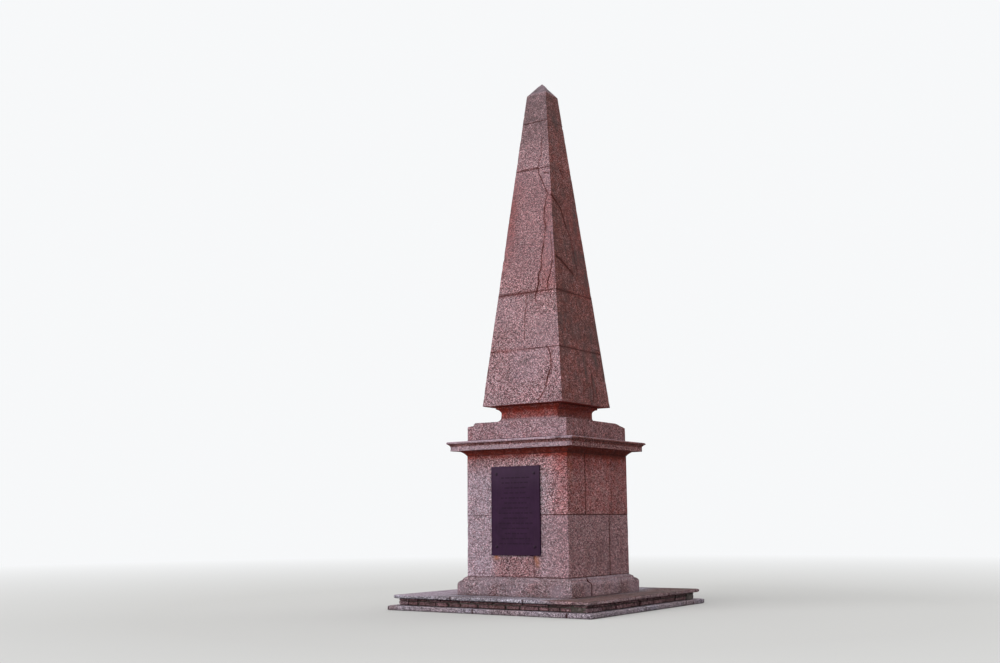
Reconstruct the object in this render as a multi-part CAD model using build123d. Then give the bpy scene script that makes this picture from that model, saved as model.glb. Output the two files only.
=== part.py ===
from build123d import *
import os

# Granite obelisk on a moulded pedestal and a two-step platform.
# Millimetres, +Z up, the front with the plaque faces -Y.
# The origin is the centre of the lower step's foot, at ground level.

# Lower step: a ring of slabs, two a side.
lower_step_width = 4096
lower_step_height = 82
lower_step_tread = 450
lower_step_nosing = 20

# Riser: a low course of small stones, set back under the platform slabs.
riser_width = 3844
riser_height = 118

# Platform slabs: four corner slabs with four between them. They have sunk towards the pedestal.
platform_width = 3980
platform_thickness = 60
platform_sink = 24
platform_nosing = 22
corner_slab = 1255
slab_joint = 12

# Base course: a plain face, a round moulding, a hollow and a slope up to the die.
base_width = 2360
base_face_height = 168
base_round_height = 84
base_round_depth = 54
base_hollow_height = 34
base_hollow_depth = 22
base_slope_height = 34
base_front_stone = 655

# Die: two courses of blocks.
die_width = 2100
lower_die_height = 1055
upper_die_height = 1053
lower_die_stone = 693
upper_die_front_stone = 588
upper_die_side_stone = 693
stone_joint = 5

# Cornice: a bed mould, a soffit, a fascia, a hollow crown, a fillet and a sloping top.
bed_mould_height = 84
bed_mould_depth = 102
cornice_soffit_depth = 118
cornice_fascia_height = 82
cornice_crown_height = 44
cornice_crown_depth = 50
cornice_fillet_height = 43
cornice_wear = 22
cornice_wash_height = 23

# Attic block. Its front left corner has broken away, and its rear right corner has split off on a slope.
attic_width = 2088
attic_height = 313
front_break_length = 163
front_break_depth = 190
front_break_height = 43
front_break_slope = 6.3
rear_break_length = 330
rear_break_depth = 240
rear_break_height = 63

# Neck: a foot fillet, a hollow, a plain face, a flare and a top fillet.
neck_width = 1210
neck_foot_height = 28
neck_hollow = 89
neck_face_height = 77
neck_flare_height = 60
neck_flare_depth = 73
neck_fillet_height = 49

# Shaft: five courses on one straight taper, then the pyramid point.
shaft_foot_width = 1698
shaft_top_width = 432
shaft_course_heights = [995, 1050, 2384, 950, 574]
point_height = 268
point_tip_width = 24

# Plaque, bolted flat on the front of the die.
plaque_width = 1008
plaque_height = 1530
plaque_thickness = 30
plaque_sill = 367
plaque_edge = 5

# Levels from the ground up.
riser_level = lower_step_height
slab_level = riser_level + riser_height
platform_level = slab_level + platform_thickness - platform_sink
base_height = base_face_height + base_round_height + base_hollow_height + base_slope_height
lower_die_level = platform_level + base_height
upper_die_level = lower_die_level + lower_die_height
cornice_level = upper_die_level + upper_die_height
cornice_fascia_level = cornice_level + bed_mould_height
cornice_crown_level = cornice_fascia_level + cornice_fascia_height
cornice_tip_level = cornice_crown_level + cornice_crown_height
attic_level = cornice_tip_level + cornice_fillet_height + cornice_wash_height
neck_level = attic_level + attic_height
neck_height = neck_foot_height + neck_hollow + neck_face_height + neck_flare_height + neck_fillet_height
shaft_level = neck_level + neck_height
shaft_height = sum(shaft_course_heights)
point_level = shaft_level + shaft_height

# The space behind the facing stones, half its size in x and y on each course.
pedestal_core_half = die_width / 2 - lower_die_stone
base_core_half = base_width / 2 - base_front_stone
upper_core_half = die_width / 2 - upper_die_front_stone
middle_bed_half = platform_width / 2 - corner_slab


def square_course(outline):
    """A solid square in plan: the outline, from the axis out and back, mitred round all four sides."""
    section = make_face(Curve() + outline + mirror(Curve() + outline, Plane.YZ))
    beyond_every_corner = lower_step_width
    across = extrude(section, beyond_every_corner, dir=(0, 1, 0), both=True)
    return (across & Rot(0, 0, 90) * across).solid()


def straight(*points):
    """Straight lines through points given as (distance from the axis, height)."""
    return Polyline(*[(x, 0, z) for x, z in points])


def arc(start, end, bulge):
    """An arc that stands off its chord by the bulge: outwards where it is positive, else hollow."""
    run, rise = end[0] - start[0], end[1] - start[1]
    chord = (run**2 + rise**2) ** 0.5
    x = (start[0] + end[0]) / 2 + bulge * rise / chord
    z = (start[1] + end[1]) / 2 - bulge * run / chord
    return ThreePointArc((start[0], 0, start[1]), (x, 0, z), (end[0], 0, end[1]))


def plan_box(x_low, x_high, y_low, y_high, z_low, z_high):
    """A block between two corners."""
    size = (x_high - x_low, y_high - y_low, z_high - z_low)
    return Pos(x_low, y_low, z_low) * Box(*size, align=(Align.MIN, Align.MIN, Align.MIN))


def stone(course, x_low, x_high, y_low, y_high):
    """The part of a course that one stone holds, given in plan."""
    box = course.bounding_box()
    return (course & plan_box(x_low, x_high, y_low, y_high, box.min.Z, box.max.Z)).solid()


def turned(solid, quarter):
    """The same stone on another side, a number of quarter turns round from the front to the right."""
    return Rot(0, 0, 90 * quarter) * solid


def slab_course(width, height, level, nosing):
    """A flat course with the arris along its outer top and bottom edges worn round."""
    half = width / 2
    top = level + height
    sag = nosing * (1 - 0.5**0.5)
    return square_course([
        straight((0, level), (half - nosing, level)),
        arc((half - nosing, level), (half, level + nosing), sag),
        straight((half, level + nosing), (half, top - nosing)),
        arc((half, top - nosing), (half - nosing, top), sag),
        straight((half - nosing, top), (0, top)),
    ])


def lower_step_slabs():
    """Two slabs a side. Each side starts at its own corner and butts against the next side's."""
    course = slab_course(lower_step_width, lower_step_height, 0, lower_step_nosing)
    half = lower_step_width / 2
    end = half - lower_step_tread - slab_joint
    middle = (end - half) / 2
    inner = -half + lower_step_tread
    first = stone(course, -half, middle - slab_joint / 2, -half, inner)
    second = stone(course, middle + slab_joint / 2, end, -half, inner)
    return first, second


def riser_row():
    """The riser course along one side, from its own corner to the next side's."""
    half = riser_width / 2
    depth = riser_depth()
    return plan_box(-half, half - depth - stone_joint, -half, -half + depth, riser_level, slab_level)


def riser_depth():
    """The riser's stones reach in as far as the lower step's slabs."""
    return lower_step_tread - (lower_step_width - riser_width) / 2


def tapered(foot_width, foot_level, top_width, top_level):
    """A block that tapers from one square to another, with flat sides."""
    foot, top = foot_width / 2, top_width / 2
    return square_course([straight((0, foot_level), (foot, foot_level), (top, top_level), (0, top_level))])


def platform_course():
    """The platform's slabs in one piece. The top falls from the outer arrises to the pedestal's foot."""
    level_course = slab_course(platform_width, platform_thickness, slab_level, platform_nosing)
    rim_width = platform_width - 2 * platform_nosing
    dish = tapered(base_width, platform_level, rim_width, slab_level + platform_thickness)
    return (level_course - dish).solid()


def platform_slabs():
    """A corner slab and the slab beside it on the front."""
    course = platform_course()
    half = platform_width / 2
    gap = slab_joint / 2
    corner = stone(course, -half, -middle_bed_half - gap, -half, -middle_bed_half - gap)
    between = stone(course, -middle_bed_half + gap, middle_bed_half - gap, -half, -middle_bed_half)
    return corner, between


def foundation_core():
    """The bed that fills the platform behind its slabs and carries the pedestal."""
    wide = lower_step_width / 2 - lower_step_tread
    narrow = middle_bed_half
    bed = plan_box(-wide, wide, -wide, wide, 0, slab_level)
    return (bed + plan_box(-narrow, narrow, -narrow, narrow, slab_level, platform_level)).solid()


def base_course():
    """The pedestal's foot: plain face, round, hollow, and a slope that meets the foot of the die."""
    half = base_width / 2
    die = die_width / 2
    face = platform_level + base_face_height
    round_top = (half - base_round_depth, face + base_round_height)
    hollow_top = (round_top[0] - base_hollow_depth, round_top[1] + base_hollow_height)
    return square_course([
        straight((0, platform_level), (half, platform_level), (half, face)),
        arc((half, face), round_top, base_round_depth / 3),
        arc(round_top, hollow_top, -base_hollow_depth / 4),
        straight(hollow_top, (die, lower_die_level), (0, lower_die_level)),
    ])


def full_width_pair(course, half, depth, side_depth):
    """A front stone over the full width, and a side stone that fits between front and back."""
    front = stone(course, -half, half, -half, -half + depth)
    reach = half - depth - stone_joint
    side = stone(course, half - side_depth, half, -reach, reach)
    return front, side


def base_stones():
    """The base course's front stone and right-hand stone."""
    half = base_width / 2
    return full_width_pair(base_course(), half, base_front_stone, half - pedestal_core_half)


def die_course(level, height):
    """One plain course of the die."""
    half = die_width / 2
    return plan_box(-half, half, -half, half, level, level + height)


def lower_die_stone_block():
    """One of four like stones, each with its head on the corner and its tail to the next head."""
    half = die_width / 2
    course = die_course(lower_die_level, lower_die_height)
    return stone(course, -half, half - lower_die_stone - stone_joint, -half, -half + lower_die_stone)


def upper_die_stones():
    """The upper die course's front stone and right-hand stone."""
    course = die_course(upper_die_level, upper_die_height)
    return full_width_pair(course, die_width / 2, upper_die_front_stone, upper_die_side_stone)


def pedestal_core():
    """The core behind the facing stones, wider front to back where the stones are less deep."""
    side = pedestal_core_half
    upper_side = die_width / 2 - upper_die_side_stone
    base = plan_box(-side, side, -base_core_half, base_core_half, platform_level, lower_die_level)
    lower = plan_box(-side, side, -side, side, lower_die_level, upper_die_level)
    depth = upper_core_half
    upper = plan_box(-upper_side, upper_side, -depth, depth, upper_die_level, cornice_level)
    return (base + lower + upper).solid()


def cornice():
    """Bed mould, soffit, fascia, hollow crown, a fillet with a worn arris, and a top that sheds rain."""
    die = die_width / 2
    bed = die + bed_mould_depth
    fascia = bed + cornice_soffit_depth
    tip = fascia + cornice_crown_depth
    wash = cornice_tip_level + cornice_fillet_height
    sag = cornice_wear * (1 - 0.5**0.5)
    return square_course([
        straight((0, cornice_level), (die, cornice_level)),
        arc((die, cornice_level), (bed, cornice_fascia_level), -bed_mould_depth / 12),
        straight((bed, cornice_fascia_level), (fascia, cornice_fascia_level), (fascia, cornice_crown_level)),
        arc((fascia, cornice_crown_level), (tip, cornice_tip_level), -cornice_crown_depth / 6),
        straight((tip, cornice_tip_level), (tip, wash - cornice_wear)),
        arc((tip, wash - cornice_wear), (tip - cornice_wear, wash), sag),
        straight((tip - cornice_wear, wash), (attic_width / 2, attic_level), (0, attic_level)),
    ])


def attic_block():
    """A plain block with two broken top corners."""
    half = attic_width / 2
    block = plan_box(-half, half, -half, half, attic_level, neck_level)
    step = Pos(-half + front_break_length, -half, neck_level - front_break_height)
    front_loss = step * Rot(0, -front_break_slope, 0) * Box(
        2 * front_break_length, 2 * front_break_depth, front_break_height * 4,
        align=(Align.MAX, Align.CENTER, Align.MIN))
    split = Polyline((half, half - rear_break_length, neck_level), (half, half, neck_level),
                     (half, half, neck_level - rear_break_height), close=True)
    apex = Vertex(half - rear_break_depth, half, neck_level)
    rear_loss = loft([make_face(split), apex])
    return (block - front_loss - rear_loss).solid()


def neck_block():
    """The narrow block under the shaft, hollowed at its foot and flared at its top."""
    face = neck_width / 2
    foot = face + neck_hollow
    flare = face + neck_flare_depth
    hollow_foot = neck_level + neck_foot_height
    hollow_top = hollow_foot + neck_hollow
    flare_foot = hollow_top + neck_face_height
    flare_top = flare_foot + neck_flare_height
    hollow_sag = neck_hollow * (1 - 0.5**0.5)
    return square_course([
        straight((0, neck_level), (foot, neck_level), (foot, hollow_foot)),
        arc((foot, hollow_foot), (face, hollow_top), -hollow_sag),
        straight((face, hollow_top), (face, flare_foot)),
        arc((face, flare_foot), (flare, flare_top), -neck_flare_depth / 6),
        straight((flare, flare_top), (flare, shaft_level), (0, shaft_level)),
    ])


def shaft_width(level):
    """The shaft's width at a level, on its straight taper."""
    share = (level - shaft_level) / shaft_height
    return shaft_foot_width + (shaft_top_width - shaft_foot_width) * share


def shaft_blocks():
    """The five courses, from the foot up. The top one ends in the pyramid point."""
    blocks = []
    level = shaft_level
    for height in shaft_course_heights:
        top = level + height
        blocks.append(tapered(shaft_width(level), level, shaft_width(top), top))
        level = top
    point = tapered(shaft_top_width, point_level, point_tip_width, point_level + point_height)
    blocks[-1] = (blocks[-1] + point).solid()
    return blocks


def plaque():
    """The flat metal plate on the front, with its outer edges eased."""
    front = -die_width / 2
    foot = lower_die_level + plaque_sill
    plate = plan_box(-plaque_width / 2, plaque_width / 2, front - plaque_thickness, front,
                     foot, foot + plaque_height)
    outer = plate.faces().sort_by(Axis.Y)[0]
    return chamfer(outer.edges(), plaque_edge).solid()


def write(name, solid):
    """One piece, one file."""
    export_step(solid, f"parts/{name}.step")


os.makedirs("parts", exist_ok=True)
sides = ["front", "right", "back", "left"]
corners = ["front_left", "front_right", "back_right", "back_left"]

write("foundation_core", foundation_core())
step_slabs = lower_step_slabs()
corner_piece, side_piece = platform_slabs()
base_full, base_side = base_stones()
upper_full, upper_side = upper_die_stones()
for quarter, side in enumerate(sides):
    for number, slab in enumerate(step_slabs, 1):
        write(f"lower_step_{side}_{number}", turned(slab, quarter))
    write(f"riser_{side}", turned(riser_row(), quarter))
    write(f"platform_slab_{corners[quarter]}", turned(corner_piece, quarter))
    write(f"platform_slab_{side}", turned(side_piece, quarter))
    write(f"lower_die_{side}", turned(lower_die_stone_block(), quarter))
for half_turn in (0, 2):
    write(f"base_stone_{sides[half_turn]}", turned(base_full, half_turn))
    write(f"base_stone_{sides[half_turn + 1]}", turned(base_side, half_turn))
    write(f"upper_die_{sides[half_turn]}", turned(upper_full, half_turn))
    write(f"upper_die_{sides[half_turn + 1]}", turned(upper_side, half_turn))
write("pedestal_core", pedestal_core())
write("cornice", cornice())
write("attic_block", attic_block())
write("neck_block", neck_block())
for number, block in enumerate(shaft_blocks(), 1):
    write(f"shaft_block_{number}", block)
write("plaque", plaque())
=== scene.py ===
import math

import bmesh
import bpy
import numpy as np
from mathutils import Matrix, Vector
from mathutils.bvhtree import BVHTree


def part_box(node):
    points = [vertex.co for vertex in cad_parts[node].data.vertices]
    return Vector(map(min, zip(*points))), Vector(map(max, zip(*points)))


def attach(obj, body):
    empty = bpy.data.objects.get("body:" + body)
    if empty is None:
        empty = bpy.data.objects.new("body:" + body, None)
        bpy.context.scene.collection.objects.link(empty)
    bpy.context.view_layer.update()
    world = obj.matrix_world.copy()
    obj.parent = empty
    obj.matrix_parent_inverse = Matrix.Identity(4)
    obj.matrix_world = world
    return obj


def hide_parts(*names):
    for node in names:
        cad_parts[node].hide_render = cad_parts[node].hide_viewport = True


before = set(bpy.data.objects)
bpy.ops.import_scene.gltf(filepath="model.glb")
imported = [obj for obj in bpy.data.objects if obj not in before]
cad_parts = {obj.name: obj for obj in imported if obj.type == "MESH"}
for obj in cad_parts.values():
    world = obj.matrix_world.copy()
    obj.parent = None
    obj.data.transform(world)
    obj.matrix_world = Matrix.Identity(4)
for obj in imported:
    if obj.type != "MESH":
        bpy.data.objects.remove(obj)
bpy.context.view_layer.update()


# Foundation core. Rubble bedded in lime mortar fills the platform behind its slabs and carries the
# pedestal. It was tipped and rammed in layers, and shows only down the open joints between slabs.
CORE_STONE = (0.17, 0.14, 0.13, 1)
CORE_MORTAR = (0.085, 0.07, 0.06, 1)
CORE_STONES_A_METRE = 7
CORE_RELIEF = 0.012


def put(tree, kind, sockets=None, **settings):
    """Adds one shader node with its settings, and links or fills its inputs."""
    node = tree.nodes.new("ShaderNode" + kind)
    for name, value in settings.items():
        setattr(node, name, value)
    for name, value in (sockets or {}).items():
        if isinstance(value, bpy.types.NodeSocket):
            tree.links.new(value, node.inputs[name])
        else:
            node.inputs[name].default_value = value
    return node


def start_material(name):
    """A new material with its node tree and its surface shader."""
    material = bpy.data.materials.new(name)
    material.use_nodes = True
    return material, material.node_tree, material.node_tree.nodes["Principled BSDF"]


def blend(tree, share, first, second, way="MIX"):
    """Two colours blended by a share from 0 to 1."""
    node = put(tree, "Mix", {0: share, 6: first, 7: second}, data_type="RGBA", blend_type=way)
    return node.outputs[2]


def sum_up(tree, operation, first, second=0.0, third=0.0, clamp=False):
    """One sum on numbers."""
    sockets = {0: first, 1: second, 2: third}
    return put(tree, "Math", sockets, operation=operation, use_clamp=clamp).outputs[0]


def ramp(tree, value, stops):
    """A colour picked by a value from 0 to 1, from stops given as (place, colour)."""
    node = put(tree, "ValToRGB", {0: value})
    elements = node.color_ramp.elements
    while len(elements) < len(stops):
        elements.new(0.5)
    for element, (place, colour) in zip(elements, stops):
        element.position = place
        element.color = (*colour, 1)
    return node.outputs[0]


def between(tree, value, low, high, out_low=0.0, out_high=1.0):
    """A value stretched from one range to another and held inside it."""
    sockets = {0: value, 1: low, 2: high, 3: out_low, 4: out_high}
    return put(tree, "MapRange", sockets, clamp=True).outputs[0]


def cloud_of(tree, place, scale, detail=2.0, roughness=0.5):
    """Soft noise from 0 to 1 at so many waves a metre."""
    sockets = {"Vector": place, "Scale": scale, "Detail": detail, "Roughness": roughness}
    return put(tree, "TexNoise", sockets).outputs[0]


def cells_of(tree, place, scale, feature="F1"):
    """Crystals or lumps at so many a metre: the node, for its distance and its colour."""
    return put(tree, "TexVoronoi", {"Vector": place, "Scale": scale}, feature=feature)


def red_of(tree, colour):
    """The red channel of a colour, as a number."""
    return put(tree, "SeparateColor", {0: colour}).outputs[0]


def shaded(tree, colour, value, dark, light, share=1.0):
    """A colour multiplied by greys, each given as (value, grey), for the low and the high values."""
    greys = ramp(tree, value, [(place, (grey,) * 3) for place, grey in (dark, light)])
    return blend(tree, share, colour, greys, "MULTIPLY")


def finish_surface(tree, shader, colour, height, strength, distance):
    """Gives a surface its colour and its fine relief, which is so many metres deep."""
    tree.links.new(colour, shader.inputs["Base Color"])
    relief = put(tree, "Bump", {"Height": height, "Strength": strength, "Distance": distance})
    tree.links.new(relief.outputs[0], shader.inputs["Normal"])


def rubble_material():
    """Rough stones in crumbling mortar."""
    material, tree, shader = start_material("rubble_in_mortar")
    place = put(tree, "TexCoord").outputs["Object"]
    gap = cells_of(tree, place, CORE_STONES_A_METRE, "DISTANCE_TO_EDGE").outputs[0]
    face = between(tree, gap, 0.03, 0.12)
    grain = cloud_of(tree, place, 60, 5, 0.7)
    colour = shaded(tree, blend(tree, face, CORE_MORTAR, CORE_STONE), grain, (0.25, 0.2), (0.75, 1), 0.6)
    shader.inputs["Roughness"].default_value = 0.95
    finish_surface(tree, shader, colour, sum_up(tree, "MULTIPLY_ADD", grain, 0.4, face), 0.9, CORE_RELIEF)
    return material


def give_material(node, material):
    """A CAD piece that keeps its own shape takes a finish."""
    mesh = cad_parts[node].data
    mesh.materials.clear()
    mesh.materials.append(material)


rubble = rubble_material()
give_material("foundation_core", rubble)


# Lower step. Two long slabs of grey-pink granite a side, laid flat round the platform's foot.
# They are rough-axed, with arrises worn round by frost and feet, and butt together with dry joints.
# The brown, soot, red and dark marks hold real stains and also painted shade: under the cornice, on
# undersides, in hollows and on the right-hand faces.
MARKS = ("tone", "red", "brown", "pale", "crust", "soot", "rust", "dark", "seam", "gap")
PLATFORM_CRYSTALS = [
    (0.00, (0.036, 0.024, 0.032)),
    (0.28, (0.110, 0.078, 0.100)),
    (0.48, (0.240, 0.186, 0.230)),
    (0.70, (0.430, 0.360, 0.420)),
    (0.90, (0.740, 0.660, 0.730)),
]
GLINT = (0.90, 0.78, 0.82, 1)
MICA = (0.026, 0.016, 0.019, 1)
LARGE_CRYSTALS, SMALL_CRYSTALS, FLECKS, CLUSTERS = 94, 210, 115, 27  # a metre
RED_STAIN_AND_SHADE = (1.08, 0.24, 0.16, 1)
RED_FILM_AND_SHADE = (0.290, 0.055, 0.038, 1)
BROWN_STAIN_AND_SHADE = (0.60, 0.42, 0.35, 1)
PALE_DUST = (1.05, 1.20, 1.30, 1)
LILAC_CRUST_AND_SKY_SHEEN = (0.47, 0.350, 0.425, 1)
SOOT_AND_SHADE = (0.075, 0.058, 0.058, 1)
RUST = (0.44, 0.145, 0.038, 1)
CRACK_DIRT_AND_SHADE = (0.060, 0.016, 0.014, 1)
WAVE_DEPTH, WAVE_SIZE = 0.003, 0.45
AXING_DEPTH, AXING_SIZE = 0.0014, 0.045
RUB_REACH, CHIP_REACH, CHIP_SIZE = 0.02, 0.032, 0.09
CRACK_REACH, CRACK_CUTS = 0.028, 3  # the mesh is cut finer this near a crack
CRACK_WANDER = 0.014
CRYSTAL_WANDER, CRYSTAL_RELIEF = 0.008, 0.0035
COVERED_WITHIN, LOOK_SHARES, LOOK_SHIFT = 0.021, (0.37, 0.86), 0.013
GRID_SNAP = 0.0015
SHARP_ANGLE, SMOOTH_ANGLE = math.radians(25), math.radians(38)
JOINT_ARRIS = 0.35  # how worn an arris at a joint gets, next to 1 for an open one


def lattice(cells, seed):
    """A fixed random number from 0 to 1 for each whole-number cell of space."""
    mixed = cells[:, 0] * 73856093 ^ cells[:, 1] * 19349663 ^ cells[:, 2] * 83492791
    mixed = (mixed ^ seed * 2654435761) & 0xFFFFFFFF
    mixed = ((mixed ^ (mixed >> 15)) * 2246822519) & 0xFFFFFFFF
    mixed = ((mixed ^ (mixed >> 13)) * 3266489917) & 0xFFFFFFFF
    return (mixed ^ (mixed >> 16)) / 0xFFFFFFFF


def cloud(place, size, seed):
    """Smooth noise from 0 to 1 at points in space, with lumps of about a size in metres."""
    scaled = np.asarray(place, float) / size + 1000
    cell = np.floor(scaled).astype(np.int64)
    share = scaled - cell
    share = share * share * (3 - 2 * share)
    total = np.zeros(len(scaled))
    for corner in np.ndindex(2, 2, 2):
        weight = np.prod(np.where(corner, share, 1 - share), axis=1)
        total += weight * lattice(cell + np.array(corner), seed)
    return total


def rise(value, low, high):
    """A smooth step from 0 at low to 1 at high."""
    share = np.clip((value - low) / (high - low), 0, 1)
    return share * share * (3 - 2 * share)


def drop(value, low, high):
    """A smooth step from 1 at low to 0 at high."""
    return 1 - rise(value, low, high)


def ridge(value, crest, width):
    """1 where a value meets the crest, and next to nothing two widths away."""
    return np.exp(-((value - crest) / width) ** 2)


def near_line(place, points):
    """Distance from each place to a line through points."""
    best = np.full(len(place), 9.0)
    for start, end in zip(points[:-1], points[1:]):
        run = np.subtract(end, start)
        share = np.clip(((place - start) @ run) / (run @ run), 0, 1)
        best = np.minimum(best, np.linalg.norm(place - start - share[:, None] * run, axis=1))
    return best


stones = {}
for name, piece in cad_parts.items():
    corners = [vertex.co.copy() for vertex in piece.data.vertices]
    stones[name] = BVHTree.FromPolygons(corners, [list(face.vertices) for face in piece.data.polygons])


def shows(face, node):
    """Whether a face lies open somewhere, with no other stone close in front of it."""
    middle = face.calc_center_median()
    if face.normal.z < -0.9 and middle.z < 0.001:
        return False
    free = 0
    for number, corner in enumerate(face.verts):
        for share in LOOK_SHARES:
            start = middle.lerp(corner.co, share + LOOK_SHIFT * (number % 3)) - face.normal * 0.001
            others = (tree for name, tree in stones.items() if name != node)
            free += not any(tree.ray_cast(start, face.normal, COVERED_WITHIN)[0] for tree in others)
    return free >= 2


def cut_grid(bm, seen, pitch):
    """Cuts the faces that show into a grid, so that wear has something to move."""
    faces = [face for face in bm.faces if face[seen]]
    edges = {edge for face in faces for edge in face.edges}
    corners = {corner for face in faces for corner in face.verts}
    geometry = faces + list(edges) + list(corners)
    places = np.array([corner.co for corner in corners])
    low, high = places.min(0), places.max(0)
    for axis in (2, 1, 0):
        normal = np.eye(3)[axis]
        count = max(2, round((high[axis] - low[axis]) / pitch[axis]))
        for place in np.linspace(low[axis], high[axis], count + 1)[1:-1]:
            cut = bmesh.ops.bisect_plane(bm, geom=geometry, dist=GRID_SNAP, plane_co=normal * place,
                                         plane_no=normal)
            geometry = cut["geom"]


def refine_near(bm, seen, lines):
    """Cuts the faces near some lines finer."""
    faces = [face for face in bm.faces if face[seen]]
    middles = np.array([face.calc_center_median() for face in faces])
    close = np.zeros(len(faces), bool)
    for points in lines:
        close |= near_line(middles, points) < CRACK_REACH
    edges = {edge for face, chosen in zip(faces, close) if chosen for edge in face.edges}
    bmesh.ops.subdivide_edges(bm, edges=list(edges), cuts=CRACK_CUTS, use_grid_fill=True)


def take_mesh(name, bm):
    """What was built in a bmesh, as a mesh."""
    mesh = bpy.data.meshes.new(name)
    bm.to_mesh(mesh)
    bm.free()
    return mesh


def stone_mesh(node, pitch, ease, cracks):
    """A CAD stone as a mesh with eased arrises and a grid on what shows, and the lines of its arrises."""
    bm = bmesh.new()
    bm.from_mesh(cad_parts[node].data)
    bmesh.ops.remove_doubles(bm, verts=bm.verts[:], dist=1e-5)
    bmesh.ops.dissolve_limit(bm, angle_limit=math.radians(1), verts=bm.verts[:], edges=bm.edges[:])
    seen = bm.faces.layers.int.new("seen")
    for face in bm.faces:
        face[seen] = int(shows(face, node))
    arrises, lines = [], []
    for edge in bm.edges:
        sharp = len(edge.link_faces) == 2 and edge.calc_face_angle_signed(0) > SHARP_ANGLE
        open_sides = [face[seen] for face in edge.link_faces]
        if sharp and any(open_sides):
            arrises.append(edge)
            ends = [np.array(corner.co) for corner in edge.verts]
            lines.append((*ends, 1.0 if all(open_sides) else JOINT_ARRIS))
    eased = bmesh.ops.bevel(bm, geom=arrises, offset=ease, segments=2, profile=0.5, affect="EDGES",
                            clamp_overlap=True)
    for face in eased["faces"]:
        face[seen] = 1
    cut_grid(bm, seen, pitch)
    if cracks:
        refine_near(bm, seen, [crack[0] for crack in cracks])
    return take_mesh(node + "_worn", bm), lines


def unit(vectors):
    """Vectors at length 1, or left at zero."""
    length = np.linalg.norm(vectors, axis=1, keepdims=True)
    return np.divide(vectors, length, out=np.zeros_like(vectors), where=length > 0)


def outward(mesh):
    """Each vertex's way out, over the faces that show, and along the plane of any bed that it borders."""
    total, bed = np.zeros((2, len(mesh.vertices), 3))
    shown = mesh.attributes["seen"].data
    for face in mesh.polygons:
        kind = total if shown[face.index].value else bed
        kind[list(face.vertices)] += np.array(face.normal) * face.area
    total, bed = unit(total), unit(bed)
    return unit(total - bed * np.sum(total * bed, axis=1, keepdims=True))


def wear_depth(place, lines, seed, wear, chips):
    """How far weather and knocks have taken the surface back: hollows, axing, worn arrises, chips."""
    depth = WAVE_DEPTH * cloud(place, WAVE_SIZE, seed) + AXING_DEPTH * cloud(place, AXING_SIZE, seed + 1)
    spots = np.clip((cloud(place, CHIP_SIZE, seed + 2) - 0.6) / 0.3, 0, 1)
    spots *= np.clip((cloud(place, 0.7, seed + 3) - 0.3) / 0.35, 0, 1)
    rub = wear * cloud(place, 0.3, seed + 4) ** 2
    edge = np.zeros(len(place))
    for start, end, strength in lines:
        gap = near_line(place, (start, end))
        edge = np.maximum(edge, strength * rub * ridge(gap, 0, RUB_REACH))
        edge = np.maximum(edge, strength * chips * spots * ridge(gap, 0, CHIP_REACH))
    return depth + edge


def joint_gap(place, lines):
    """How far each place lies from the nearest joint, in metres."""
    gap = np.full(len(place), 1.0)
    for start, end, strength in lines:
        if strength < 1:
            gap = np.minimum(gap, near_line(place, (start, end)))
    return gap


def write_marks(mesh, marks):
    """Keeps each kind of mark, stains and painted shade alike, on the mesh, one number a vertex."""
    for name in MARKS:
        values = np.full(len(mesh.vertices), np.clip(marks.get(name, 0), 0, 1), np.float32)
        mesh.attributes.new(name, "FLOAT", "POINT").data.foreach_set("value", values)


def add_object(name, data):
    """Puts a mesh, a lamp or a camera into the scene."""
    thing = bpy.data.objects.new(name, data)
    bpy.context.scene.collection.objects.link(thing)
    return thing


def show_mesh(name, mesh, material, nodes):
    """Links a finished mesh as a piece of the monument that stands for CAD nodes."""
    mesh.materials.clear()
    mesh.materials.append(material)
    mesh.shade_smooth()
    mesh.set_sharp_from_angle(angle=SMOOTH_ANGLE)
    piece = add_object(name, mesh)
    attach(piece, "root")
    if nodes:
        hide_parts(*nodes)


def worn_stone(node, material, seed, stain, pitch=(0.022,) * 3, ease=0.004, wear=0.007, chips=0.014,
               cracks=(), rough=None):
    """A stone from its CAD node, worn and stained, some of its marks being painted shade. The stain function
    gets each place and its facing.
    """
    mesh, lines = stone_mesh(node, pitch, ease, cracks)
    place = np.array([vertex.co for vertex in mesh.vertices], float)
    facing = outward(mesh)
    depth = wear_depth(place, lines, seed, wear, chips)
    if rough:
        depth += rough(place)
    dark, flush = np.zeros((2, len(place)))
    bent = place + CRACK_WANDER * (np.stack([cloud(place, 0.05, seed + k) for k in (5, 6, 7)], axis=1) - 0.5)
    for points, width, hollow, dirt in cracks:
        gap = near_line(bent, points) / (width * (0.6 + 0.8 * cloud(place, 0.11, seed + 8)))
        depth = np.maximum(depth, hollow * np.clip(1.15 - gap, 0, 1) ** 0.7)
        spread = np.clip(1.9 - 0.7 * gap, 0, 1)
        dark = np.maximum(dark, dirt * spread * (0.6 + 0.9 * cloud(place, 0.16, seed + 9)))
        flush = np.maximum(flush, dirt * ridge(gap, 0, 3))
    moved = np.clip(place - facing * depth[:, None], place.min(0), place.max(0))
    mesh.vertices.foreach_set("co", moved.astype(np.float32).ravel())
    marks = stain(place, facing)
    marks["gap"] = joint_gap(place, lines)
    marks["tone"] = (seed * 0.618) % 1
    marks["red"] = marks["red"] + 0.35 * flush
    marks["dark"] = np.maximum(marks.get("dark", 0), dark)
    write_marks(mesh, marks)
    show_mesh(node + "_stone", mesh, material, [node])


def marked(tree, name):
    """A mark's strength, stain or painted shade, as it was kept on the mesh."""
    return put(tree, "Attribute", attribute_name=name).outputs["Fac"]


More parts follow.
